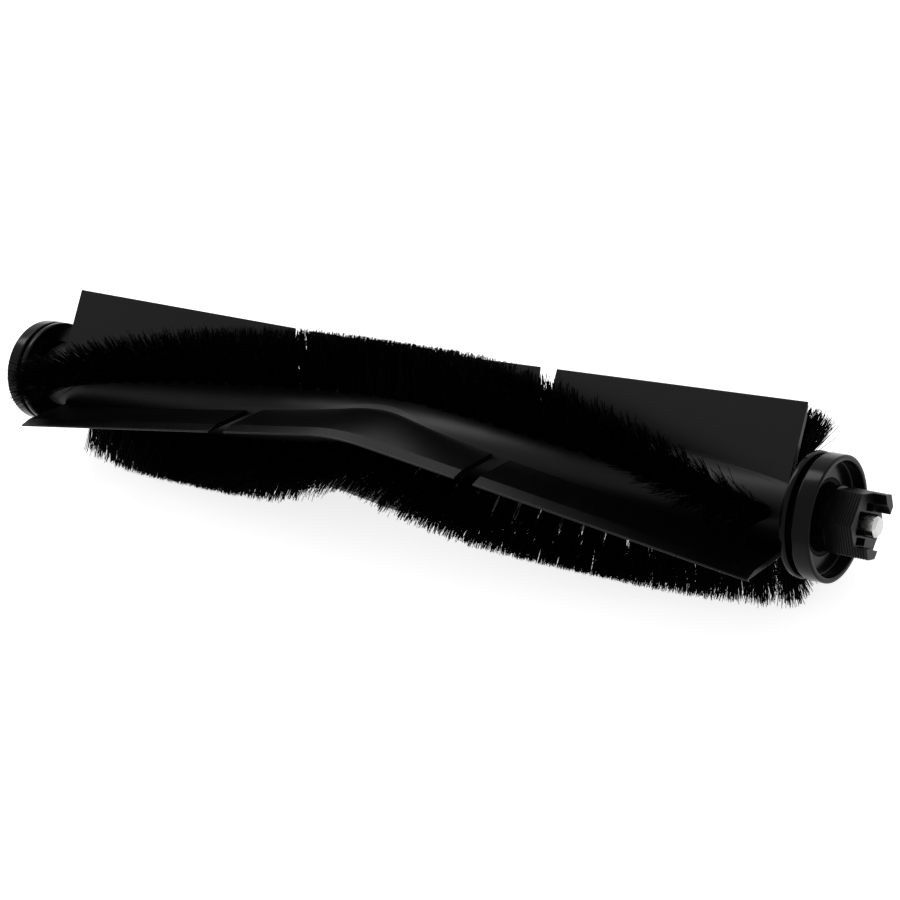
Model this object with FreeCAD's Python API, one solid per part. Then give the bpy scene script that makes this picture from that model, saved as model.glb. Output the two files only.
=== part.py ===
import FreeCAD, Part
import math
import os

# Roller brush of a robot vacuum cleaner: a slender core carries three rubber blades and three rows of
# bristle tufts, all laid as a wide V. The drive end has a square peg. At the other end a hexagonal
# bearing block turns on a steel stub axle.
# Lengths are in millimetres. X runs along the axis from the drive end to the bearing end, Z is up,
# and the brush lies on the free edge of the blade that points down.

Vector = FreeCAD.Vector
AXIS_X = Vector(1, 0, 0)
ORIGIN = Vector(0, 0, 0)

# Overall
brush_length = 176.0          # outer face of the drive ring to the rim of the bearing cup
ring_diameter = 20.0          # hair guard rings at both ends
core_diameter = 12.6
row_count = 3                 # blades, and also bristle rows

# Drive end cap
drive_wide_ring = 2.8
drive_ring_groove = 0.8
drive_narrow_ring = 1.2
drive_neck_length = 1.4
drive_spigot_flats = 6.8
drive_spigot_length = 3.6
peg_width = 7.5
peg_length = 6.0
peg_chamfer = 0.8

# Bearing end cap
cup_wide_ring = 3.0
cup_ring_groove = 1.0
cup_narrow_ring = 1.05
cup_neck_length = 1.35
cup_wall = 0.9
cup_web = 0.8                 # between the mouth of the cup and the ring groove
cup_floor = 0.85

# Both end caps
guard_groove_depth = 1.4
neck_diameter = 11.0

# V path of the rows, as a sideways offset from the blade's own plane
blade_start = 10.0            # from the outer face of the drive ring
blade_end_margin = 6.9        # from the rim of the bearing cup
bend_offset = 5.6             # offset where the two straight arms would meet
end_offset = -4.8             # offset at both ends of the row
bend_radius = 50.0

# Rubber blades
blade_reach = 16.4            # axis to the free edge
blade_thickness = 1.0
lip_length = 2.3              # tapered stretch along the free edge
lip_thickness = 0.28
slit_offset = 25.6            # bend to the near side of a slit
slit_width = 3.66
foot_width = 1.8
foot_depth = 1.6              # below the surface of the core
foot_rise = 0.15              # above the surface of the core
foot_floor = 1.2              # lowest part of the foot above the axis plane

# Bristle tufts
tuft_reach = 16.1             # axis to the tips
tuft_pitch = 3.96
tuft_start_margin = 1.3       # from the drive end of a row to its first tuft
tuft_end_margin = 1.5         # least distance from the last tuft to the other end of the row
tuft_width = 2.05             # where the bundle leaves the core
tuft_tip_width = 3.8          # along the roller
tuft_tip_depth = 6.0          # around the roller
tuft_hole_bottom = 3.4        # axis to the bottom of a tuft hole

# Stub axle and what runs on it
axle_diameter = 3.4
axle_grip = 24.0              # length held in the core and the cap
axle_tip = 6.75               # past the rim of the cup
axle_chamfer = 0.4
washer_diameter = 5.8
washer_thickness = 0.4
bush_diameter = 6.2
bush_length = 6.6

# Seal ring in the cup
seal_diameter = 12.2
seal_below_web = 0.1          # outer face of the seal, sunk below the bottom of the cup

# Bearing block
block_flats = 9.7
block_angle = 76.0            # from straight up towards +Y to the corner that carries a prong
block_floor = 4.7             # end face between the prongs, from the rim
collar_diameter = 10.4
collar_end = -0.05            # where the round collar becomes a hexagon, from the rim
prong_length = 2.1
prong_depth = 1.75            # hexagon flat to the prong's inner wall
prong_side = 1.95             # prong's end, sideways from its corner
prong_hollow_radius = 3.65    # hollow in the prongs, around the axle
recess_turn = -21.3           # recess and pockets, from the corner that carries a prong
recess_length = 7.1
recess_width = 3.7
recess_depth = 1.2
pocket_width = 1.2
pocket_land = 0.25            # between the recess and a pocket
pocket_depth = 1.3
upper_pocket_from = -1.4      # pockets, along the recess from the axis
upper_pocket_to = 1.1
lower_pocket_from = -2.9
lower_pocket_to = 0.3
rib_start = 1.7               # first fine groove, from the rim
rib_pitch = 0.44
rib_count = 11
rib_width = 0.2
rib_depth = 0.14

# Clearances
glue_clearance = 0.04         # pieces bonded or pressed into a seat
running_clearance = 0.03      # radial, bush on axle
end_clearance = 0.05          # washer to bush
turning_clearance = 0.2       # other faces of the block to what stays still
hole_clearance = 0.03         # tuft in its hole

# Derived sizes
core_radius = core_diameter / 2
ring_radius = ring_diameter / 2
neck_radius = neck_diameter / 2
axle_radius = axle_diameter / 2
foot_bottom_radius = core_radius - foot_depth
foot_top_radius = core_radius + foot_rise

drive_ring_end = drive_wide_ring + drive_ring_groove + drive_narrow_ring
core_start = drive_ring_end + drive_neck_length
cup_ring_start = brush_length - cup_wide_ring - cup_ring_groove - cup_narrow_ring
core_end = cup_ring_start - cup_neck_length
seat_floor = cup_ring_start + cup_floor
cup_bottom = brush_length - cup_wide_ring + cup_web

blade_end = brush_length - blade_end_margin
row_middle = (blade_start + blade_end) / 2
row_half = (blade_end - blade_start) / 2
first_tuft = blade_start + tuft_start_margin
tuft_count = 1 + int((blade_end - tuft_end_margin - first_tuft) / tuft_pitch)
arm_slope = math.atan2(bend_offset - end_offset, row_half)

washer_end = seat_floor + washer_thickness
bush_start = washer_end + end_clearance
bush_end = bush_start + bush_length
block_start = seat_floor + turning_clearance
floor_end = brush_length + block_floor
tip_end = floor_end + prong_length
hexagon_start = brush_length + collar_end
corner_to_flat = 180 / 6      # angle from a hexagon corner to the middle of a flat

axis_height = blade_reach
middle_x = (tip_end - peg_length) / 2


def cylinder(radius, start, end):
    return Part.makeCylinder(radius, end - start, Vector(start, 0, 0), AXIS_X)


def tube(outer, inner, start, end):
    return cylinder(outer, start, end).cut(cylinder(inner, start, end))


def turned(points):
    # Solid of revolution about the X axis from (x, radius) points.
    wire = Part.makePolygon([Vector(x, 0, r) for x, r in points + points[:1]])
    return Part.Face(wire).revolve(ORIGIN, AXIS_X, 360)


def hexagon(flats, start, end):
    # Hexagonal bar along X with one corner pointing up.
    corner = flats / math.sqrt(3)
    angles = [k * math.pi / 3 for k in range(7)]
    points = [Vector(start, corner * math.sin(a), corner * math.cos(a)) for a in angles]
    return Part.Face(Part.makePolygon(points)).extrude(Vector(end - start, 0, 0))


def turn(shape, angle):
    # Turn about the axis, from straight up towards +Y.
    moved = shape.copy()
    moved.rotate(ORIGIN, AXIS_X, -angle)
    return moved


def save(shape, node):
    placed = shape.copy()
    placed.translate(Vector(-middle_x, 0, axis_height))
    placed.exportStep("parts/" + node + ".step")
    print(node, "solids", len(placed.Solids), "volume", round(placed.Volume, 2), "valid", placed.isValid())


def path_offset(x):
    # Sideways offset of the V path at a place along the axis, with the bend rounded.
    away = abs(x - row_middle)
    tangent = bend_radius * math.sin(arm_slope)
    if away >= tangent:
        return bend_offset - away * math.tan(arm_slope)
    centre = bend_offset - bend_radius / math.cos(arm_slope)
    return centre + math.sqrt(bend_radius ** 2 - away ** 2)


def row_swing(x):
    # Angle of the V path on the surface of the core, beside the blade's own direction.
    return math.degrees(math.asin(path_offset(x) / core_radius))


def v_path(overrun):
    # Two straight arms joined by an arc, run past both ends of the row.
    tangent = bend_radius * math.sin(arm_slope)
    left = blade_start - overrun
    right = blade_end + overrun
    near = row_middle - tangent
    far = row_middle + tangent
    spots = [Vector(x, path_offset(x), 0) for x in (left, near, row_middle, far, right)]
    arm_in = Part.LineSegment(spots[0], spots[1]).toShape()
    bend = Part.Arc(spots[1], spots[2], spots[3]).toShape()
    arm_out = Part.LineSegment(spots[3], spots[4]).toShape()
    return Part.Wire([arm_in, bend, arm_out])


def swept_strip(section):
    # Sweep a (sideways, height) outline along the V path.
    overrun = 2 * foot_width
    path = v_path(overrun)
    start = path.Vertexes[0].Point
    across = Vector(-math.sin(arm_slope), math.cos(arm_slope), 0)
    points = [start + across * side + Vector(0, 0, height) for side, height in section]
    sweep = Part.BRepOffsetAPI.MakePipeShell(path)
    sweep.setBiNormalMode(Vector(0, 0, 1))
    sweep.add(Part.makePolygon(points + points[:1]))
    sweep.build()
    sweep.makeSolid()
    return sweep.shape()


def between(start, end):
    # A slab square to the axis, large enough to trim a row.
    reach = 2 * blade_reach
    return Part.makeBox(end - start, 2 * reach, 2 * reach, Vector(start, -reach, -reach))


def foot_strip(grow):
    # Foot of a blade in its groove, or the groove itself when grown by the clearance.
    half = foot_width / 2 + grow
    low = foot_floor - grow
    strip = swept_strip([(-half, low), (half, low), (half, core_diameter), (-half, core_diameter)])
    strip = strip.common(between(blade_start - grow, blade_end + grow))
    return strip.cut(cylinder(foot_bottom_radius - grow, 0, brush_length))


def make_blade():
    half = blade_thickness / 2
    section = [(-half, foot_floor), (half, foot_floor), (half, blade_reach - lip_length)]
    section += [(lip_thickness - half, blade_reach), (-half, blade_reach)]
    flaps = swept_strip(section).common(between(blade_start, blade_end))
    for side in (-1, 1):
        near = row_middle + side * slit_offset
        far = near + side * slit_width
        slit = between(min(near, far), max(near, far))
        flaps = flaps.cut(slit.cut(cylinder(foot_top_radius, 0, brush_length)))
    flaps = flaps.cut(cylinder(foot_bottom_radius, 0, brush_length))
    foot = foot_strip(0).common(cylinder(foot_top_radius, 0, brush_length))
    return flaps.fuse(foot).removeSplitter()


def tuft_places():
    return [first_tuft + k * tuft_pitch for k in range(tuft_count)]


def make_tuft(x):
    # Bundle of filaments as one four-sided spike that widens from the bottom of its hole to the tips.
    low = tuft_hole_bottom + hole_clearance
    sunk = (core_radius - low) / (tuft_reach - core_radius)
    root = (tuft_width - sunk * (tuft_tip_width - tuft_width)) / 2
    side = (tuft_width - sunk * (tuft_tip_depth - tuft_width)) / 2
    tip = tuft_tip_width / 2
    fan = tuft_tip_depth / 2
    spike = Part.makeWedge(x - root, low, -side, -fan, x - tip, x + root, tuft_reach, side, fan, x + tip)
    spike.rotate(ORIGIN, AXIS_X, 90)
    return spike


def tuft_hole(x):
    width = tuft_width + 2 * hole_clearance
    corner = Vector(x - width / 2, -width / 2, tuft_hole_bottom)
    return Part.makeBox(width, width, core_diameter - tuft_hole_bottom, corner)


def blade_direction(row):
    # The last blade points straight down.
    return 180 - 360 / row_count * (row_count - 1 - row)


def bristle_direction(row):
    return blade_direction(row) - 180 / row_count


def make_core():
    core = cylinder(core_radius, core_start, core_end)
    grooves = [turn(foot_strip(glue_clearance), blade_direction(row)) for row in range(row_count)]
    holes = []
    for row in range(row_count):
        for x in tuft_places():
            holes.append(turn(tuft_hole(x), bristle_direction(row) + row_swing(x)))
    socket_end = core_start + drive_spigot_length + glue_clearance
    socket = hexagon(drive_spigot_flats + 2 * glue_clearance, core_start, socket_end)
    axle_bore = cylinder(axle_radius + glue_clearance, core_end - axle_grip - glue_clearance, core_end)
    return core.cut(grooves + holes + [socket, axle_bore])


def guard_ring(start, wide, groove, narrow):
    # Wide ring, groove and narrow ring, counted away from the outer face at start.
    bottom = ring_radius - guard_groove_depth
    a = start + wide
    b = a + groove
    c = b + narrow
    outline = [(start, 0), (start, ring_radius), (a, ring_radius), (a, bottom)]
    outline += [(b, bottom), (b, ring_radius), (c, ring_radius), (c, 0)]
    return turned(outline)


def make_drive_cap():
    rings = guard_ring(0, drive_wide_ring, drive_ring_groove, drive_narrow_ring)
    neck = cylinder(neck_radius, drive_ring_end, core_start)
    spigot = hexagon(drive_spigot_flats, core_start, core_start + drive_spigot_length)
    corner = Vector(-peg_length, -peg_width / 2, -peg_width / 2)
    peg = Part.makeBox(peg_length, peg_width, peg_width, corner)
    outer = [e for e in peg.Edges if abs(e.CenterOfMass.x + peg_length) < 1e-6]
    peg = peg.makeChamfer(peg_chamfer, outer)
    return rings.fuse([neck, spigot, peg]).removeSplitter()


def make_cup():
    rings = guard_ring(brush_length, -cup_wide_ring, -cup_ring_groove, -cup_narrow_ring)
    neck = cylinder(neck_radius, core_end, cup_ring_start)
    mouth = cylinder(ring_radius - cup_wall, cup_bottom, brush_length)
    seat = cylinder(seal_diameter / 2 + glue_clearance, seat_floor, cup_bottom)
    bore = cylinder(axle_radius + glue_clearance, core_end, seat_floor)
    return rings.fuse(neck).cut([mouth, seat, bore]).removeSplitter()


def make_axle():
    tip = brush_length + axle_tip
    start = core_end - axle_grip
    outline = [(start, 0), (start, axle_radius - axle_chamfer), (start + axle_chamfer, axle_radius)]
    outline += [(tip - axle_chamfer, axle_radius), (tip, axle_radius - axle_chamfer), (tip, 0)]
    return turned(outline)


def make_washer():
    return tube(washer_diameter / 2, axle_radius + glue_clearance, seat_floor, washer_end)


def make_seal():
    inner = collar_diameter / 2 + turning_clearance
    return tube(seal_diameter / 2, inner, seat_floor, cup_bottom - seal_below_web)


def make_bush():
    return tube(bush_diameter / 2, axle_radius + running_clearance, bush_start, bush_end)


def make_prong():
    # Tab beside one flat of the hexagon, hollowed around the axle.
    wall = block_flats / 2 - prong_depth
    slab = Part.makeBox(tip_end, 2 * block_flats, block_flats, Vector(0, -block_flats, wall))
    tab = turn(slab, corner_to_flat)
    side = Part.makeBox(tip_end, block_flats, block_flats, Vector(0, prong_side - block_flats, 0))
    prong = hexagon(block_flats, hexagon_start, tip_end).common(tab).common(side)
    return prong.cut(cylinder(prong_hollow_radius, 0, tip_end)).common(between(floor_end, tip_end))


def sunk_box(depth, along_from, along_to, up_from, up_to):
    # Box sunk into the end face between the prongs.
    corner = Vector(floor_end - depth, along_from, up_from)
    box = Part.makeBox(depth, along_to - along_from, up_to - up_from, corner)
    return turn(box, recess_turn)


def make_block():
    prong = make_prong()
    mirrored = prong.mirror(ORIGIN, Vector(0, 0, 1))
    body = hexagon(block_flats, hexagon_start, floor_end).fuse([prong, mirrored]).removeSplitter()
    ribs = []
    for k in range(rib_count):
        start = brush_length + rib_start + k * rib_pitch
        inside = hexagon(block_flats - 2 * rib_depth, start, start + rib_width)
        ribs.append(cylinder(block_flats, start, start + rib_width).cut(inside))
    body = body.cut(ribs).fuse(cylinder(collar_diameter / 2, block_start, hexagon_start))
    seat = cylinder(bush_diameter / 2 + glue_clearance, block_start, bush_end)
    bore = cylinder(axle_radius + turning_clearance, bush_end, floor_end)
    half = recess_width / 2
    recess = sunk_box(recess_depth, -recess_length / 2, recess_length / 2, -half, half)
    near = half + pocket_land
    far = near + pocket_width
    upper = sunk_box(pocket_depth, upper_pocket_from, upper_pocket_to, near, far)
    lower = sunk_box(pocket_depth, lower_pocket_from, lower_pocket_to, -far, -near)
    return turn(body.cut([seat, bore, recess, upper, lower]), block_angle)


os.makedirs("parts", exist_ok=True)

save(make_core(), "roller_core")
save(make_drive_cap(), "drive_end_cap")
save(make_cup(), "bearing_end_cap")
save(make_seal(), "seal_ring")
save(make_axle(), "stub_axle")
save(make_washer(), "thrust_washer")
save(make_bush(), "bearing_bush")
save(make_block(), "bearing_block")

blade = make_blade()
tufts = [make_tuft(x) for x in tuft_places()]
for row in range(row_count):
    number = str(row + 1)
    save(turn(blade, blade_direction(row)), "blade_" + number)
    angles = [bristle_direction(row) + row_swing(x) for x in tuft_places()]
    save(Part.makeCompound([turn(t, a) for t, a in zip(tufts, angles)]), "bristle_row_" + number)
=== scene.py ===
import bpy
import bmesh
import math
import random
from mathutils import Matrix, Vector


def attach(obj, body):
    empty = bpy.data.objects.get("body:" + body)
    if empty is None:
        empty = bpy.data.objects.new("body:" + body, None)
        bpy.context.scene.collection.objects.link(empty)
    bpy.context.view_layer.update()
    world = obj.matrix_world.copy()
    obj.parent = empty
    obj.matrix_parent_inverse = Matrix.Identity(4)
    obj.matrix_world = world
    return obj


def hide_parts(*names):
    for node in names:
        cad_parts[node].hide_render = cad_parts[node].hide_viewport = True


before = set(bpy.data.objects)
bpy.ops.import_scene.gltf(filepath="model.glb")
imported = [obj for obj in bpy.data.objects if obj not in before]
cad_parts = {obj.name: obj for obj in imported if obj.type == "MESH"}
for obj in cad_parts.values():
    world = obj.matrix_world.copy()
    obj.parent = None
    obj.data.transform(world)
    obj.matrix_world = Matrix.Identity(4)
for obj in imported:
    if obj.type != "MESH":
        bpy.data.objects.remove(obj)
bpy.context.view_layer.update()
print("frame loaded:", len(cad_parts), "nodes")

# pieces are drawn in millimetres on the roller's axis, x = 0 at the drive ring's outer face
milli = 0.001
roller = {"middle": 88.4, "axisHeight": 16.4, "length": 176.0, "coreRadius": 6.3, "ringRadius": 10.0,
          "coreStart": 6.2, "coreEnd": 169.6, "rows": 3}
toFrame = (Matrix.Translation((-roller["middle"] * milli, 0.0, roller["axisHeight"] * milli))
           @ Matrix.Scale(milli, 4))

# the V that blades and bristle rows follow
vee = {"start": 10.0, "end": 169.1, "bendOffset": 5.6, "endOffset": -4.8, "bendRadius": 50.0}
vee["middle"] = (vee["start"] + vee["end"]) / 2
vee["half"] = (vee["end"] - vee["start"]) / 2
vee["slope"] = math.atan2(vee["bendOffset"] - vee["endOffset"], vee["half"])


def veeOffset(x):
    away = abs(x - vee["middle"])
    tangent = vee["bendRadius"] * math.sin(vee["slope"])
    if away >= tangent:
        return vee["bendOffset"] - away * math.tan(vee["slope"])
    centre = vee["bendOffset"] - vee["bendRadius"] / math.cos(vee["slope"])
    return centre + math.sqrt(vee["bendRadius"] ** 2 - away ** 2)


def bladeAngle(row):
    return 180 - 360 / roller["rows"] * (roller["rows"] - 1 - row)


def bristleAngle(row):
    return bladeAngle(row) - 180 / roller["rows"]


def turnAboutAxis(degrees):
    return Matrix.Rotation(-math.radians(degrees), 4, "X")   # from straight up towards +Y


# shared steps for the materials

def grey(level):
    return (level, level, level)


def newGroup(name, inputs, outputs):
    group = bpy.data.node_groups.new(name, "ShaderNodeTree")
    for label, value in inputs:
        socket = group.interface.new_socket(name=label, in_out="INPUT", socket_type="NodeSocketFloat")
        socket.default_value = value
    for label in outputs:
        group.interface.new_socket(name=label, in_out="OUTPUT", socket_type="NodeSocketFloat")
    return group, group.nodes.new("NodeGroupInput"), group.nodes.new("NodeGroupOutput")


def placeGroup(tree, group, values):
    node = tree.nodes.new("ShaderNodeGroup")
    node.node_tree = group
    for label, value in values.items():
        node.inputs[label].default_value = value
    return node


def mathNode(tree, operation, first, second=None, third=None):
    node = tree.nodes.new("ShaderNodeMath")
    node.operation = operation
    for slot, value in enumerate((first, second, third)):
        if value is None:
            continue
        if isinstance(value, (int, float)):
            node.inputs[slot].default_value = value
        else:
            tree.links.new(value, node.inputs[slot])
    return node.outputs[0]


def objectCoords(tree):
    return tree.nodes.new("ShaderNodeTexCoord").outputs["Object"]


def stretchedCoords(tree, coords, scale):
    node = tree.nodes.new("ShaderNodeMapping")
    node.inputs["Scale"].default_value = scale
    tree.links.new(coords, node.inputs["Vector"])
    return node.outputs["Vector"]


def noiseNode(tree, vector, scale, detail, rough=0.5):
    node = tree.nodes.new("ShaderNodeTexNoise")
    node.inputs["Scale"].default_value = scale
    node.inputs["Detail"].default_value = detail
    node.inputs["Roughness"].default_value = rough
    tree.links.new(vector, node.inputs["Vector"])
    return node


def mixColour(tree, factor, first, second):
    node = tree.nodes.new("ShaderNodeMix")
    node.data_type = "RGBA"
    for socket, value in ((node.inputs[0], factor), (node.inputs[6], first), (node.inputs[7], second)):
        if isinstance(value, tuple):
            socket.default_value = (*value, 1.0)
        else:
            tree.links.new(value, socket)
    return node.outputs[2]


def newMaterial(name, roughness, specular, metallic=0.0):
    material = bpy.data.materials.new(name)
    material.use_nodes = True
    shader = material.node_tree.nodes["Principled BSDF"]
    shader.inputs["Roughness"].default_value = roughness
    shader.inputs["Specular IOR Level"].default_value = specular
    shader.inputs["Metallic"].default_value = metallic
    return material, material.node_tree, shader


def bumpInto(tree, shader, height, strength, distance):
    bump = tree.nodes.new("ShaderNodeBump")
    bump.inputs["Strength"].default_value = strength
    bump.inputs["Distance"].default_value = distance
    tree.links.new(height, bump.inputs["Height"])
    tree.links.new(bump.outputs["Normal"], shader.inputs["Normal"])


def axisDistance(tree):
    apart = tree.nodes.new("ShaderNodeSeparateXYZ")
    tree.links.new(objectCoords(tree), apart.inputs["Vector"])
    rise = mathNode(tree, "SUBTRACT", apart.outputs["Z"], roller["axisHeight"] * milli)
    square = mathNode(tree, "MULTIPLY_ADD", rise, rise, mathNode(tree, "POWER", apart.outputs["Y"], 2.0))
    return mathNode(tree, "SQRT", square)


# fine spark-eroded grain of a mould, with a slow drift in sheen
grainForm = {"scale": 9000.0, "detail": 3.0, "rough": 0.6, "driftScale": 140.0, "driftDetail": 4.0,
             "speckle": 0.12, "toneSwing": 0.8, "middle": 0.5}


def makeMouldedGrain():
    group, inlet, outlet = newGroup("mouldedGrain", [("Grain Size", 1.0), ("Sheen", 0.35), ("Drift", 0.1)],
                                    ["Roughness", "Height", "Tone"])
    coords = objectCoords(group)
    grain = noiseNode(group, coords, grainForm["scale"], grainForm["detail"], grainForm["rough"])
    grainScale = mathNode(group, "DIVIDE", grainForm["scale"], inlet.outputs["Grain Size"])
    group.links.new(grainScale, grain.inputs["Scale"])
    drift = noiseNode(group, coords, grainForm["driftScale"], grainForm["driftDetail"])
    centred = mathNode(group, "SUBTRACT", drift.outputs["Fac"], grainForm["middle"])
    swing = mathNode(group, "MULTIPLY", centred, inlet.outputs["Drift"])
    grainCentred = mathNode(group, "SUBTRACT", grain.outputs["Fac"], grainForm["middle"])
    speck = mathNode(group, "MULTIPLY", grainCentred, grainForm["speckle"])
    rough = mathNode(group, "ADD", mathNode(group, "ADD", inlet.outputs["Sheen"], swing), speck)
    tone = mathNode(group, "ADD", 1.0, mathNode(group, "MULTIPLY", centred, grainForm["toneSwing"]))
    for value, label in ((rough, "Roughness"), (grain.outputs["Fac"], "Height"), (tone, "Tone")):
        group.links.new(value, outlet.inputs[label])
    return group


# sparse pale specks of lint and faint rub marks
markForm = {"speckScale": 2600.0, "speckDetail": 2.0, "speckGain": 6.0, "rubScale": 900.0, "rubDetail": 3.0,
            "rubGain": 4.0, "rubStretch": (0.12, 1.0, 1.0)}


def makeHandlingMarks():
    group, inlet, outlet = newGroup("handlingMarks", [("Specks", 0.72), ("Rubs", 0.62)], ["Speck", "Rub"])
    coords = objectCoords(group)
    fine = noiseNode(group, coords, markForm["speckScale"], markForm["speckDetail"])
    along = stretchedCoords(group, coords, markForm["rubStretch"])
    streaks = noiseNode(group, along, markForm["rubScale"], markForm["rubDetail"])
    for noise, limit, gain, label in ((fine, "Specks", markForm["speckGain"], "Speck"),
                                      (streaks, "Rubs", markForm["rubGain"], "Rub")):
        above = mathNode(group, "SUBTRACT", noise.outputs["Fac"], inlet.outputs[limit])
        clamp = group.nodes.new("ShaderNodeClamp")
        group.links.new(mathNode(group, "MULTIPLY", above, gain), clamp.inputs["Value"])
        group.links.new(clamp.outputs["Result"], outlet.inputs[label])
    return group


mouldedGrain = makeMouldedGrain()
handlingMarks = makeHandlingMarks()

# black mouldings: one recipe, and a look for each
moulded = {"rubTint": 0.5, "rubDull": 0.12, "lintColour": (0.05, 0.05, 0.048), "grainDepth": 0.00002}
looks = {
    "core": {"colour": grey(0.0012), "deep": grey(0.0006), "rub": grey(0.003), "sheen": 0.44, "drift": 0.08,
             "specular": 0.135, "grainSize": 1.4, "bump": 0.12, "specks": 0.74, "rubs": 0.64, "lint": 0.1},
    "cap": {"colour": grey(0.0012), "deep": grey(0.0006), "rub": grey(0.003), "sheen": 0.17, "drift": 0.06,
            "specular": 0.085, "grainSize": 1.2, "bump": 0.1, "specks": 0.74, "rubs": 0.62, "lint": 0.1},
    "block": {"colour": grey(0.0014), "deep": grey(0.0008), "rub": grey(0.004), "sheen": 0.36, "drift": 0.1,
              "specular": 0.12, "grainSize": 1.0, "bump": 0.2, "specks": 0.73, "rubs": 0.6, "lint": 0.1},
    "blade": {"colour": grey(0.0008), "deep": grey(0.0004), "rub": grey(0.002), "sheen": 0.3, "drift": 0.06,
              "specular": 0.16, "grainSize": 2.0, "bump": 0.08, "specks": 0.73, "rubs": 0.63, "lint": 0.08,
              "footRadius": 6.7, "footDull": 0.16},     # the foot is duller than the flaps
}


def mouldedMaterial(name, look):
    material, tree, shader = newMaterial(name, look["sheen"], look["specular"])
    grain = placeGroup(tree, mouldedGrain, {"Grain Size": look["grainSize"], "Sheen": look["sheen"],
                                            "Drift": look["drift"]})
    marks = placeGroup(tree, handlingMarks, {"Specks": look["specks"], "Rubs": look["rubs"]})
    toned = mixColour(tree, grain.outputs["Tone"], look["deep"], look["colour"])
    rubs = mathNode(tree, "MULTIPLY", marks.outputs["Rub"], moulded["rubTint"])
    rubbed = mixColour(tree, rubs, toned, look["rub"])
    lint = mathNode(tree, "MULTIPLY", marks.outputs["Speck"], look["lint"])
    dusted = mixColour(tree, lint, rubbed, moulded["lintColour"])
    tree.links.new(dusted, shader.inputs["Base Color"])
    dulling = mathNode(tree, "MULTIPLY", marks.outputs["Rub"], moulded["rubDull"])
    rough = mathNode(tree, "ADD", grain.outputs["Roughness"], dulling)
    if "footRadius" in look:
        nearCore = mathNode(tree, "LESS_THAN", axisDistance(tree), look["footRadius"] * milli)
        rough = mathNode(tree, "MULTIPLY_ADD", nearCore, look["footDull"], rough)
    tree.links.new(rough, shader.inputs["Roughness"])
    bumpInto(tree, shader, grain.outputs["Height"], look["bump"], moulded["grainDepth"])
    return material


# nylon: each filament keeps its own shade, held in a colour attribute
nylon = {"roughness": 0.5, "specular": 0.02, "dark": grey(0.0001), "pale": grey(0.0005),
         "streakScale": 1500.0, "streakDetail": 2.0, "streakSwing": 0.2, "leastRough": 0.42}


def nylonMaterial():
    material, tree, shader = newMaterial("bristle_nylon", nylon["roughness"], nylon["specular"])
    shade = tree.nodes.new("ShaderNodeAttribute")
    shade.attribute_name = "filamentShade"
    streak = noiseNode(tree, objectCoords(tree), nylon["streakScale"], nylon["streakDetail"])
    colour = mixColour(tree, shade.outputs["Fac"], nylon["dark"], nylon["pale"])
    tree.links.new(colour, shader.inputs["Base Color"])
    rough = mathNode(tree, "MULTIPLY_ADD", streak.outputs["Fac"], nylon["streakSwing"], nylon["leastRough"])
    tree.links.new(rough, shader.inputs["Roughness"])
    return material


# metals: fine lay left by turning or grinding, with a little tarnish
metalForm = {"specular": 0.5, "layScale": 2400.0, "layDetail": 3.0, "tarnishScale": 700.0,
             "tarnishDetail": 4.0, "sheenSwing": 0.2, "bump": 0.15, "layDepth": 0.00001}
metals = {
    "axle": {"colour": (0.58, 0.58, 0.57), "dark": (0.44, 0.44, 0.43), "sheen": 0.24, "lay": (8.0, 1.0, 1.0)},
    "washer": {"colour": grey(0.6), "dark": grey(0.45), "sheen": 0.35, "lay": (1.0, 1.0, 1.0)},
    "bush": {"colour": (0.5, 0.33, 0.16), "dark": (0.3, 0.19, 0.09), "sheen": 0.45, "lay": (6.0, 1.0, 1.0)},
}


def turnedMetal(name, look):
    material, tree, shader = newMaterial(name, look["sheen"], metalForm["specular"], 1.0)
    coords = objectCoords(tree)
    along = stretchedCoords(tree, coords, look["lay"])
    lines = noiseNode(tree, along, metalForm["layScale"], metalForm["layDetail"])
    tarnish = noiseNode(tree, coords, metalForm["tarnishScale"], metalForm["tarnishDetail"])
    colour = mixColour(tree, tarnish.outputs["Fac"], look["dark"], look["colour"])
    tree.links.new(colour, shader.inputs["Base Color"])
    swing = metalForm["sheenSwing"]
    rough = mathNode(tree, "MULTIPLY_ADD", lines.outputs["Fac"], swing, look["sheen"] - swing / 2)
    tree.links.new(rough, shader.inputs["Roughness"])
    bumpInto(tree, shader, lines.outputs["Fac"], metalForm["bump"], metalForm["layDepth"])
    return material


# felt: matted fibres, soft and dull
felt = {"roughness": 0.9, "specular": 0.2, "dark": grey(0.001), "pale": grey(0.006), "scale": 5200.0,
        "detail": 5.0, "rough": 0.7, "roughSwing": 0.15, "leastRough": 0.8, "bump": 0.6, "fibreDepth": 0.0001}


def feltMaterial():
    material, tree, shader = newMaterial("seal_felt", felt["roughness"], felt["specular"])
    fibre = noiseNode(tree, objectCoords(tree), felt["scale"], felt["detail"], felt["rough"])
    colour = mixColour(tree, fibre.outputs["Fac"], felt["dark"], felt["pale"])
    tree.links.new(colour, shader.inputs["Base Color"])
    rough = mathNode(tree, "MULTIPLY_ADD", fibre.outputs["Fac"], felt["roughSwing"], felt["leastRough"])
    tree.links.new(rough, shader.inputs["Roughness"])
    bumpInto(tree, shader, fibre.outputs["Fac"], felt["bump"], felt["fibreDepth"])
    return material


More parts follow.
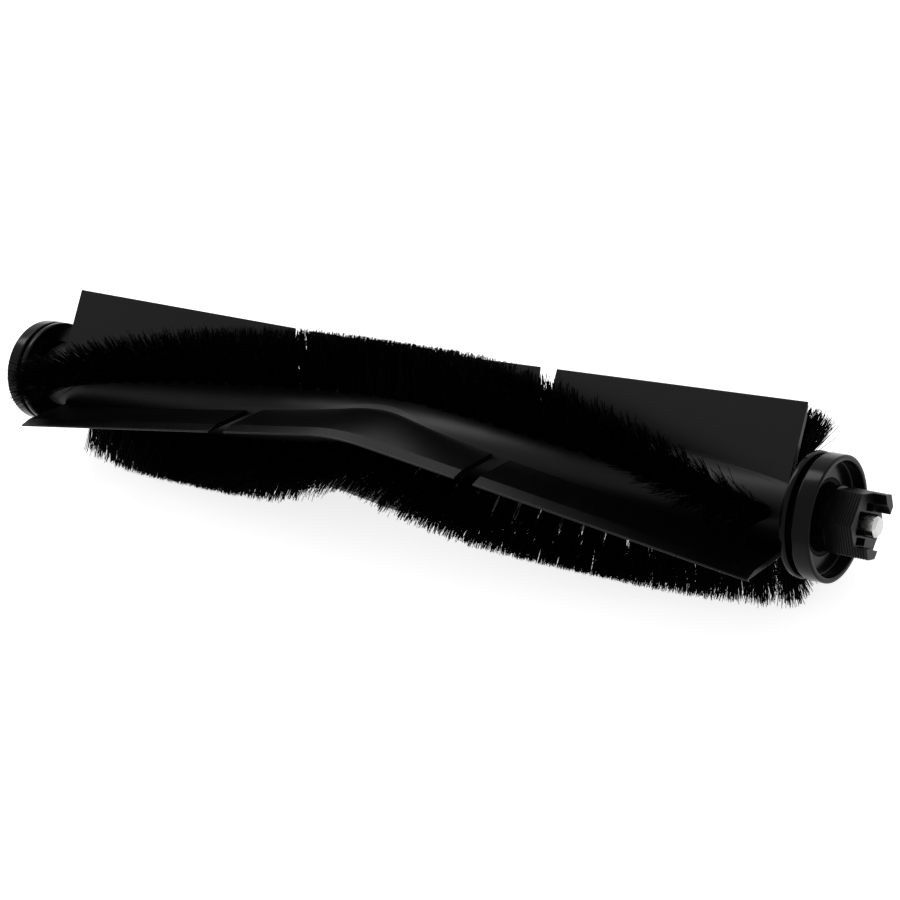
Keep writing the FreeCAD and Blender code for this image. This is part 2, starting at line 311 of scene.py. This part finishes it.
coreMaterial = mouldedMaterial("core_plastic", looks["core"])
capMaterial = mouldedMaterial("cap_plastic", looks["cap"])
blockMaterial = mouldedMaterial("block_plastic", looks["block"])
bladeMaterial = mouldedMaterial("blade_rubber", looks["blade"])
bristleMaterial = nylonMaterial()
axleMaterial = turnedMetal("axle_steel", metals["axle"])
washerMaterial = turnedMetal("washer_steel", metals["washer"])
bushMaterial = turnedMetal("bush_bronze", metals["bush"])
sealMaterial = feltMaterial()
print("materials ready")


# shared steps for the pieces

def finishPiece(bm, name, node, body, material, sharpAngle=35.0, flats=True):
    bmesh.ops.transform(bm, matrix=toFrame, verts=bm.verts)
    mesh = bpy.data.meshes.new(name)
    bm.to_mesh(mesh)
    bm.free()
    mesh.shade_smooth()
    mesh.set_sharp_from_angle(angle=math.radians(sharpAngle))
    mesh.materials.append(material)
    piece = bpy.data.objects.new(name, mesh)
    bpy.context.scene.collection.objects.link(piece)
    if flats:
        even = piece.modifiers.new("evenFlats", "WEIGHTED_NORMAL")   # flats stay flat beside small rounds
        even.keep_sharp = True
        even.weight = 80
    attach(piece, body)
    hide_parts(node)
    print(name, "faces:", len(mesh.polygons))


def addMesh(bm, source):
    # append one bmesh to another and free it
    holder = bpy.data.meshes.new("holder")
    source.to_mesh(holder)
    source.free()
    bm.from_mesh(holder)
    bpy.data.meshes.remove(holder)


def bevelInto(bm, geom, offset, segments, affect="EDGES", clamp=False):
    bmesh.ops.bevel(bm, geom=geom, offset=offset, offset_type="OFFSET", segments=segments, profile=0.5,
                    affect=affect, material=-1, clamp_overlap=clamp)


def boxInto(bm, low, high):
    made = bmesh.ops.create_cube(bm, size=1.0)["verts"]
    size = [b - a for a, b in zip(low, high)]
    centre = [(a + b) / 2 for a, b in zip(low, high)]
    bmesh.ops.scale(bm, vec=size, verts=made)
    bmesh.ops.translate(bm, vec=centre, verts=made)


lathe = {"steps": 96, "roundSegments": 3, "weld": 0.0005}


def latheInto(bm, outline, closed, steps=lathe["steps"]):
    # outline: (x, radius, rounding) corners, spun about the roller's axis
    profile = bmesh.new()
    corners = [profile.verts.new((x, 0.0, radius)) for x, radius, rounding in outline]
    for first, second in zip(corners, corners[1:]):
        profile.edges.new((first, second))
    if closed:
        profile.edges.new((corners[-1], corners[0]))
    byRounding = {}
    for corner, (x, radius, rounding) in zip(corners, outline):
        if rounding:
            byRounding.setdefault(rounding, []).append(corner)
    for rounding, chosen in byRounding.items():
        bevelInto(profile, chosen, rounding, lathe["roundSegments"], "VERTICES")
    bmesh.ops.spin(profile, geom=profile.verts[:] + profile.edges[:], cent=(0, 0, 0), axis=(1, 0, 0),
                   angle=2 * math.pi, steps=steps, use_merge=True)
    bmesh.ops.remove_doubles(profile, verts=profile.verts, dist=lathe["weld"])
    bmesh.ops.recalc_face_normals(profile, faces=profile.faces)
    addMesh(bm, profile)


# drive end cap: two guard rings, a groove between them, and the square peg
driveCap = {"wide": 2.8, "groove": 0.8, "narrow": 1.2, "grooveDepth": 1.4, "neckRadius": 5.5, "rounding": 0.3,
            "neckRounding": 0.2, "pegWidth": 7.5, "pegLength": 6.0, "pegInset": 0.5, "pegChamfer": 0.8,
            "pegRounding": 0.12}


def buildDriveCap():
    ring = roller["ringRadius"]
    low = ring - driveCap["grooveDepth"]
    soft = driveCap["rounding"]
    first = driveCap["wide"]
    second = first + driveCap["groove"]
    third = second + driveCap["narrow"]
    neck = driveCap["neckRadius"]
    bm = bmesh.new()
    latheInto(bm, [(0, 0, 0), (0, ring, soft), (first, ring, soft), (first, low, 0), (second, low, 0),
                   (second, ring, soft), (third, ring, soft), (third, neck, driveCap["neckRounding"]),
                   (roller["coreStart"], neck, 0), (roller["coreStart"], 0, 0)], False)
    peg = bmesh.new()
    half = driveCap["pegWidth"] / 2
    boxInto(peg, (-driveCap["pegLength"], -half, -half), (driveCap["pegInset"], half, half))
    outer = [e for e in peg.edges if all(v.co.x < 0 for v in e.verts)]
    bevelInto(peg, outer, driveCap["pegChamfer"], 1)
    bevelInto(peg, peg.edges[:], driveCap["pegRounding"], 2)
    bmesh.ops.recalc_face_normals(peg, faces=peg.faces)
    addMesh(bm, peg)
    finishPiece(bm, "driveEndCap", "drive_end_cap", "roller", capMaterial)


# bearing end cap: guard rings again, and a cup that shields the bearing
bearingCap = {"wide": 3.0, "groove": 1.0, "narrow": 1.05, "grooveDepth": 1.4, "neckRadius": 5.5,
              "rounding": 0.3, "neckRounding": 0.2, "wall": 0.9, "web": 0.8, "floor": 0.85,
              "seatRadius": 6.14, "boreRadius": 1.74, "mouthRounding": 0.2, "bottomRounding": 0.3,
              "seatRounding": 0.1}


def buildBearingCap():
    ring = roller["ringRadius"]
    low = ring - bearingCap["grooveDepth"]
    soft = bearingCap["rounding"]
    start = roller["coreEnd"]
    rim = roller["length"]
    first = rim - bearingCap["wide"]
    second = first - bearingCap["groove"]
    third = second - bearingCap["narrow"]
    mouth = ring - bearingCap["wall"]
    bottom = first + bearingCap["web"]
    seat = third + bearingCap["floor"]
    neck = bearingCap["neckRadius"]
    bore = bearingCap["boreRadius"]
    seatRadius = bearingCap["seatRadius"]
    bm = bmesh.new()
    latheInto(bm, [(start, bore, 0), (start, neck, 0), (third, neck, bearingCap["neckRounding"]),
                   (third, ring, soft), (second, ring, soft), (second, low, 0), (first, low, 0),
                   (first, ring, soft), (rim, ring, soft), (rim, mouth, bearingCap["mouthRounding"]),
                   (bottom, mouth, bearingCap["bottomRounding"]),
                   (bottom, seatRadius, bearingCap["seatRounding"]), (seat, seatRadius, 0),
                   (seat, bore, 0)], True)
    finishPiece(bm, "bearingEndCap", "bearing_end_cap", "roller", capMaterial)


# felt seal in the bottom of the cup
seal = {"outer": 6.1, "inner": 5.4, "start": 171.8, "end": 173.7, "rounding": 0.2}


def buildSeal():
    bm = bmesh.new()
    latheInto(bm, [(seal["start"], seal["inner"], 0), (seal["start"], seal["outer"], 0),
                   (seal["end"], seal["outer"], seal["rounding"]),
                   (seal["end"], seal["inner"], seal["rounding"])], True)
    finishPiece(bm, "sealRing", "seal_ring", "roller", sealMaterial)


# steel stub axle with chamfered ends
axle = {"radius": 1.7, "start": 145.6, "end": 182.75, "chamfer": 0.4, "innerRounding": 0.05,
        "tipRounding": 0.06, "steps": 64, "sharpAngle": 50.0}


def buildAxle():
    radius, chamfer = axle["radius"], axle["chamfer"]
    inner, tip = axle["innerRounding"], axle["tipRounding"]
    small = radius - chamfer
    bm = bmesh.new()
    latheInto(bm, [(axle["start"], 0, 0), (axle["start"], small, inner),
                   (axle["start"] + chamfer, radius, inner), (axle["end"] - chamfer, radius, tip),
                   (axle["end"], small, tip), (axle["end"], 0, 0)], False, axle["steps"])
    finishPiece(bm, "stubAxle", "stub_axle", "roller", axleMaterial, axle["sharpAngle"])


# core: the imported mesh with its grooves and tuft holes, given the smooth shading of a turned tube
core = {"weld": 0.000002, "tubeMargin": 0.02, "facing": 0.94}


def buildCore():
    bm = bmesh.new()
    bm.from_mesh(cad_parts["roller_core"].data)
    bmesh.ops.remove_doubles(bm, verts=bm.verts, dist=core["weld"])
    mesh = bpy.data.meshes.new("rollerCore")
    bm.to_mesh(mesh)
    bm.free()
    mesh.materials.append(coreMaterial)
    mesh.shade_smooth()
    axisZ = roller["axisHeight"] * milli
    tubeFrom = (roller["coreRadius"] - core["tubeMargin"]) * milli
    normals = []
    for face in mesh.polygons:
        for index in face.vertices:
            spot = mesh.vertices[index].co
            out = Vector((0.0, spot.y, spot.z - axisZ))
            radial = out.normalized()
            onTube = out.length > tubeFrom and radial.dot(face.normal) > core["facing"]
            normals.append(radial if onTube else face.normal.copy())
    mesh.normals_split_custom_set(normals)
    piece = bpy.data.objects.new("rollerCore", mesh)
    bpy.context.scene.collection.objects.link(piece)
    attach(piece, "roller")
    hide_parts("roller_core")
    print("rollerCore faces:", len(mesh.polygons))


# rubber blades: three flaps on one foot, with a thin lip along the free edge
bladeShape = {"reach": 16.4, "thickness": 1.0, "lipLength": 2.3, "lipThickness": 0.28, "slitOffset": 25.6,
              "slitWidth": 3.66, "root": 1.6, "rounding": 0.12, "sharpTurn": 0.5, "sharpAngle": 11.0,
              "footWidth": 1.9, "footDepth": 1.6, "footRise": 0.01, "footCuts": (-0.5, 0.0, 0.5),
              "footLeast": 1.0, "station": 1.5, "cutSlack": 0.0001}


def cutAcross(bm, place, normal):
    bmesh.ops.bisect_plane(bm, geom=bm.verts[:] + bm.edges[:] + bm.faces[:], dist=bladeShape["cutSlack"],
                           plane_co=place, plane_no=normal)


def cutStations(bm, start, end):
    # enough stations along the row for it to follow the bend
    for cut in range(1, int((end - start) / bladeShape["station"])):
        cutAcross(bm, (start + cut * bladeShape["station"], 0, 0), (1, 0, 0))


def flapInto(bm, start, end):
    half = bladeShape["thickness"] / 2
    reach = bladeShape["reach"]
    lipLine = reach - bladeShape["lipLength"]
    flap = bmesh.new()
    boxInto(flap, (start, -half, bladeShape["root"]), (end, half, reach))
    cutAcross(flap, (0, 0, lipLine), (0, 0, 1))
    for vert in flap.verts:
        if vert.co.z > (lipLine + reach) / 2 and vert.co.y > 0:
            vert.co.y = bladeShape["lipThickness"] - half
    # the lip's own line turns too little to be rounded, so it stays crisp
    sharp = [e for e in flap.edges if e.calc_face_angle(0.0) > bladeShape["sharpTurn"]]
    bevelInto(flap, sharp, bladeShape["rounding"], 3, clamp=True)
    cutStations(flap, start, end)
    for vert in flap.verts:
        vert.co.y = vert.co.y / math.cos(vee["slope"]) + veeOffset(vert.co.x)
    addMesh(bm, flap)


def footInto(bm):
    half = bladeShape["footWidth"] / 2
    foot = bmesh.new()
    boxInto(foot, (vee["start"], -half, 0.0), (vee["end"], half, 1.0))
    for side in bladeShape["footCuts"]:
        cutAcross(foot, (0, side * half, 0), (0, 1, 0))
    cutStations(foot, vee["start"], vee["end"])
    high = roller["coreRadius"] + bladeShape["footRise"]
    low = roller["coreRadius"] - bladeShape["footDepth"]
    for vert in foot.verts:
        radius = high if vert.co.z > 0.5 else low     # top and bottom of the unit box
        side = vert.co.y + veeOffset(vert.co.x)
        vert.co.y = side
        vert.co.z = math.sqrt(max(radius ** 2 - side ** 2, bladeShape["footLeast"] ** 2))
    bmesh.ops.recalc_face_normals(foot, faces=foot.faces)
    addMesh(bm, foot)


def buildBlade(row):
    gapNear = bladeShape["slitOffset"]
    gapFar = gapNear + bladeShape["slitWidth"]
    bm = bmesh.new()
    flapInto(bm, vee["start"], vee["middle"] - gapFar)
    flapInto(bm, vee["middle"] - gapNear, vee["middle"] + gapNear)
    flapInto(bm, vee["middle"] + gapFar, vee["end"])
    footInto(bm)
    bmesh.ops.recalc_face_normals(bm, faces=bm.faces)
    bmesh.ops.transform(bm, matrix=turnAboutAxis(bladeAngle(row)), verts=bm.verts)
    number = str(row + 1)
    finishPiece(bm, "rubberBlade" + number, "blade_" + number, "roller",
                bladeMaterial, bladeShape["sharpAngle"], False)


# bristle tufts: loose nylon filaments that fan out of each hole in the core
tuft = {"pitch": 3.96, "startMargin": 1.3, "endMargin": 1.5, "filaments": 285, "thickness": 0.075,
        "taper": 0.72, "rootAlong": 1.24, "rootSide": 1.05, "rootAt": 5.2, "reach": 16.5, "tipAlong": 2.4,
        "tipSide": 4.5, "alongVary": (0.85, 1.05), "sideVary": (0.8, 1.05), "alongLoose": 0.3,
        "sideLoose": 0.4, "alongCurve": 2.1, "sideCurve": 1.8, "bowAlong": 0.14, "bowSide": 0.2,
        "leastTip": 10.0, "ragged": 0.4, "over": 0.15, "wildRagged": 0.6, "short": 0.12, "stray": 0.75,
        "strayEvery": 3, "endTufts": 2, "startLean": 1.6, "endLean": 0.7, "leanCurve": 1.8, "touch": 0.05,
        "seed": 41, "seedStep": 10, "variants": 9, "wild": 1.0, "endSeed": 500, "endVariants": 3,
        "endWild": 1.6, "sharpAngle": 80.0}


def filamentMesh():
    # one filament of unit length, a slim three-sided cone with a joint
    bm = bmesh.new()
    bmesh.ops.create_cone(bm, cap_ends=True, cap_tris=False, segments=3, radius1=tuft["thickness"],
                          radius2=tuft["thickness"] * tuft["taper"], depth=1.0,
                          matrix=Matrix.Translation((0, 0, 0.5)))
    sides = [e for e in bm.edges if abs(e.verts[1].co.z - e.verts[0].co.z) > 0.5]
    bmesh.ops.subdivide_edges(bm, edges=sides, cuts=1, use_grid_fill=True)
    holder = bpy.data.meshes.new("filament")
    bm.to_mesh(holder)
    bm.free()
    return holder


def buildTuftVariant(filament, seed, wild):
    rng = random.Random(seed)
    longest = tuft["reach"] + tuft["over"]
    bm = bmesh.new()
    shadeLayer = bm.loops.layers.float_color.new("filamentShade")
    done = 0
    for strand in range(tuft["filaments"]):
        bm.from_mesh(filament)
        bm.verts.ensure_lookup_table()
        fresh = bm.verts[done:]
        done = len(bm.verts)
        along = rng.uniform(-1, 1)
        aside = rng.uniform(-1, 1)
        rootX = tuft["rootAlong"] * along * math.sqrt(1 - aside ** 2 / 2)     # round bundle at the hole
        rootY = tuft["rootSide"] * aside * math.sqrt(1 - along ** 2 / 2)
        strayX = 0.0 if strand % tuft["strayEvery"] else tuft["stray"] * rootX     # beside the bundle
        tipX = tuft["tipAlong"] * along * rng.uniform(*tuft["alongVary"])
        tipX += rng.gauss(0, tuft["alongLoose"]) * wild
        tipY = tuft["tipSide"] * aside * rng.uniform(*tuft["sideVary"])
        tipY += rng.gauss(0, tuft["sideLoose"]) * wild
        uneven = rng.uniform(-tuft["ragged"], tuft["over"]) * (1 + tuft["wildRagged"] * wild)
        tipR = tuft["reach"] + uneven - abs(rng.gauss(0, tuft["short"]))
        tipZ = math.sqrt(max(min(tipR, longest) ** 2 - tipY ** 2, tuft["leastTip"] ** 2))
        bowX = rng.gauss(0, tuft["bowAlong"]) * wild
        bowY = rng.gauss(0, tuft["bowSide"]) * wild
        spin = rng.uniform(0, 2 * math.pi)
        shade = rng.random()
        for vert in fresh:
            t = vert.co.z
            bow = 4 * t * (1 - t)
            x = vert.co.x * math.cos(spin) - vert.co.y * math.sin(spin)
            y = vert.co.x * math.sin(spin) + vert.co.y * math.cos(spin)
            spreadX = (tipX - rootX) * t ** tuft["alongCurve"]
            spreadY = (tipY - rootY) * t ** tuft["sideCurve"]
            vert.co.x = x + rootX + spreadX + bowX * bow + strayX * max(0.0, 1 - 2 * t)
            vert.co.y = y + rootY + spreadY + bowY * bow
            vert.co.z = tuft["rootAt"] + (tipZ - tuft["rootAt"]) * t
            for loop in vert.link_loops:
                loop[shadeLayer] = (shade, shade, shade, 1.0)
    holder = bpy.data.meshes.new("tuft")
    bm.to_mesh(holder)
    bm.free()
    return holder


def buildBristleRow(row, variants, endVariants):
    rng = random.Random(tuft["seed"] + row)
    first = vee["start"] + tuft["startMargin"]
    count = 1 + int((vee["end"] - tuft["endMargin"] - first) / tuft["pitch"])
    ends = tuft["endTufts"]
    bm = bmesh.new()
    done = 0
    for step in range(count):
        x = first + step * tuft["pitch"]
        pool = variants if ends <= step < count - ends else endVariants
        bm.from_mesh(rng.choice(pool))
        bm.verts.ensure_lookup_table()
        fresh = bm.verts[done:]
        done = len(bm.verts)
        swing = math.degrees(math.asin(veeOffset(x) / roller["coreRadius"]))
        flip = Matrix.Diagonal((rng.choice((-1, 1)), rng.choice((-1, 1)), 1, 1))
        bmesh.ops.transform(bm, matrix=flip, verts=fresh)
        fromStart = max(0, ends - step)     # the outermost tuft leans most
        fromEnd = max(0, ends + 1 - count + step)
        lean = (tuft["endLean"] * fromEnd - tuft["startLean"] * fromStart) / ends
        for vert in fresh if lean else ():
            rise = max(0.0, vert.co.z - tuft["rootAt"]) / (tuft["reach"] - tuft["rootAt"])
            vert.co.x += lean * rise ** tuft["leanCurve"]
        place = turnAboutAxis(bristleAngle(row) + swing) @ Matrix.Translation((x, 0, 0))
        bmesh.ops.transform(bm, matrix=place, verts=fresh)
    floorLine = tuft["touch"] - roller["axisHeight"]     # tips that meet the floor lie on it
    for vert in bm.verts:
        vert.co.z = max(vert.co.z, floorLine)
    bmesh.ops.recalc_face_normals(bm, faces=bm.faces)
    number = str(row + 1)
    finishPiece(bm, "bristleRow" + number, "bristle_row_" + number, "roller",
                bristleMaterial, tuft["sharpAngle"], False)


def buildBristles():
    filament = filamentMesh()
    seed, seedStep = tuft["seed"], tuft["seedStep"]
    variants = [buildTuftVariant(filament, seed + seedStep * k, tuft["wild"])
                for k in range(tuft["variants"])]
    endVariants = [buildTuftVariant(filament, seed + tuft["endSeed"] + seedStep * k, tuft["endWild"])
                   for k in range(tuft["endVariants"])]
    for row in range(roller["rows"]):
        buildBristleRow(row, variants, endVariants)
    for holder in variants + endVariants + [filament]:
        bpy.data.meshes.remove(holder)


# bearing block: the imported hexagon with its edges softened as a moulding's are
block = {"weld": 0.002, "flatAngle": 1.0, "edge": 0.05, "edgeAngle": 40.0, "sharpAngle": 30.0}


def buildBlock():
    bm = bmesh.new()
    bm.from_mesh(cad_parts["bearing_block"].data)
    bmesh.ops.transform(bm, matrix=toFrame.inverted(), verts=bm.verts)
    bmesh.ops.remove_doubles(bm, verts=bm.verts, dist=block["weld"])
    bmesh.ops.dissolve_limit(bm, angle_limit=math.radians(block["flatAngle"]), use_dissolve_boundaries=False,
                             verts=bm.verts, edges=bm.edges)
    least = math.radians(block["edgeAngle"])
    sharp = [e for e in bm.edges if e.is_manifold and e.calc_face_angle(0.0) > least]
    bevelInto(bm, sharp, block["edge"], 2, clamp=True)
    finishPiece(bm, "bearingBlock", "bearing_block", "bearing", blockMaterial,
                block["sharpAngle"])


buildDriveCap()
buildBearingCap()
buildSeal()
buildAxle()
buildCore()
buildBlock()
for row in range(roller["rows"]):
    buildBlade(row)
buildBristles()

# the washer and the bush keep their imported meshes
for nodeName, material in (("thrust_washer", washerMaterial), ("bearing_bush", bushMaterial)):
    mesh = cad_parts[nodeName].data
    mesh.materials.clear()
    mesh.materials.append(material)
print("pieces built")


# stage: white floor, white surround, one soft light high on the left
white = (1.0, 1.0, 1.0, 1.0)
stage = {"floorSize": 3.0, "floorGlow": 0.74, "floorShade": 0.8, "floorRough": 0.9, "worldFill": 0.6,
         "keyPower": 3.3, "keySize": (0.56, 0.24), "keyTwist": -12.0, "keyPlace": (-0.43, 0.31, 0.585)}


def seenDirectly(tree):
    # 1 for the camera and for reflections, 0 for the light that surfaces pass on
    ray = tree.nodes.new("ShaderNodeLightPath")
    mirrored = mathNode(tree, "MAXIMUM", ray.outputs["Is Glossy Ray"], ray.outputs["Is Transmission Ray"])
    return mathNode(tree, "MAXIMUM", ray.outputs["Is Camera Ray"], mirrored)


def buildFloor():
    bm = bmesh.new()
    bmesh.ops.create_grid(bm, x_segments=2, y_segments=2, size=stage["floorSize"] / 2)
    mesh = bpy.data.meshes.new("floor")
    bm.to_mesh(mesh)
    bm.free()
    floor = bpy.data.objects.new("floor", mesh)
    bpy.context.scene.collection.objects.link(floor)
    material, tree, shader = newMaterial("floor_white", stage["floorRough"], 0.0)
    shader.inputs["Base Color"].default_value = (*grey(stage["floorShade"]), 1.0)
    shader.inputs["Emission Color"].default_value = white
    glow = mathNode(tree, "MULTIPLY", seenDirectly(tree), stage["floorGlow"])
    tree.links.new(glow, shader.inputs["Emission Strength"])
    mesh.materials.append(material)


def buildSurround():
    world = bpy.data.worlds.new("surround")
    bpy.context.scene.world = world
    world.use_nodes = True
    tree = world.node_tree
    sky = tree.nodes["Background"]
    sky.inputs["Color"].default_value = white
    fill = stage["worldFill"]
    strength = mathNode(tree, "MULTIPLY_ADD", seenDirectly(tree), 1.0 - fill, fill)
    tree.links.new(strength, sky.inputs["Strength"])


def buildLamp():
    lamp = bpy.data.lights.new("overheadSoftbox", "AREA")
    lamp.shape = "RECTANGLE"
    lamp.size, lamp.size_y = stage["keySize"]
    lamp.energy = stage["keyPower"]
    key = bpy.data.objects.new("overheadSoftbox", lamp)
    key.location = stage["keyPlace"]
    aim = (-Vector(stage["keyPlace"])).to_track_quat("-Z", "Y").to_matrix()
    key.rotation_euler = (aim @ Matrix.Rotation(math.radians(stage["keyTwist"]), 3, "Z")).to_euler()
    bpy.context.scene.collection.objects.link(key)


# camera: fitted to both guard rings of the photograph
view = {"place": (0.22205, -0.16896, 0.25499), "forward": (-0.58026, 0.46915, -0.66573),
        "up": (-0.15234, 0.74047, 0.6546), "lens": 83.06, "sensor": 36.0, "nearest": 0.01}


def buildCamera():
    forward = Vector(view["forward"]).normalized()
    right = forward.cross(Vector(view["up"])).normalized()
    up = right.cross(forward)
    data = bpy.data.cameras.new("camera")
    data.lens = view["lens"]
    data.sensor_width = view["sensor"]
    data.sensor_fit = "HORIZONTAL"
    data.clip_start = view["nearest"]
    camera = bpy.data.objects.new("camera", data)
    turn = Matrix((right, up, -forward)).transposed().to_4x4()
    camera.matrix_world = Matrix.Translation(view["place"]) @ turn
    bpy.context.scene.collection.objects.link(camera)
    bpy.context.scene.camera = camera


buildFloor()
buildSurround()
buildLamp()
buildCamera()
bpy.context.scene.view_settings.view_transform = "Standard"
print("stage and camera ready")
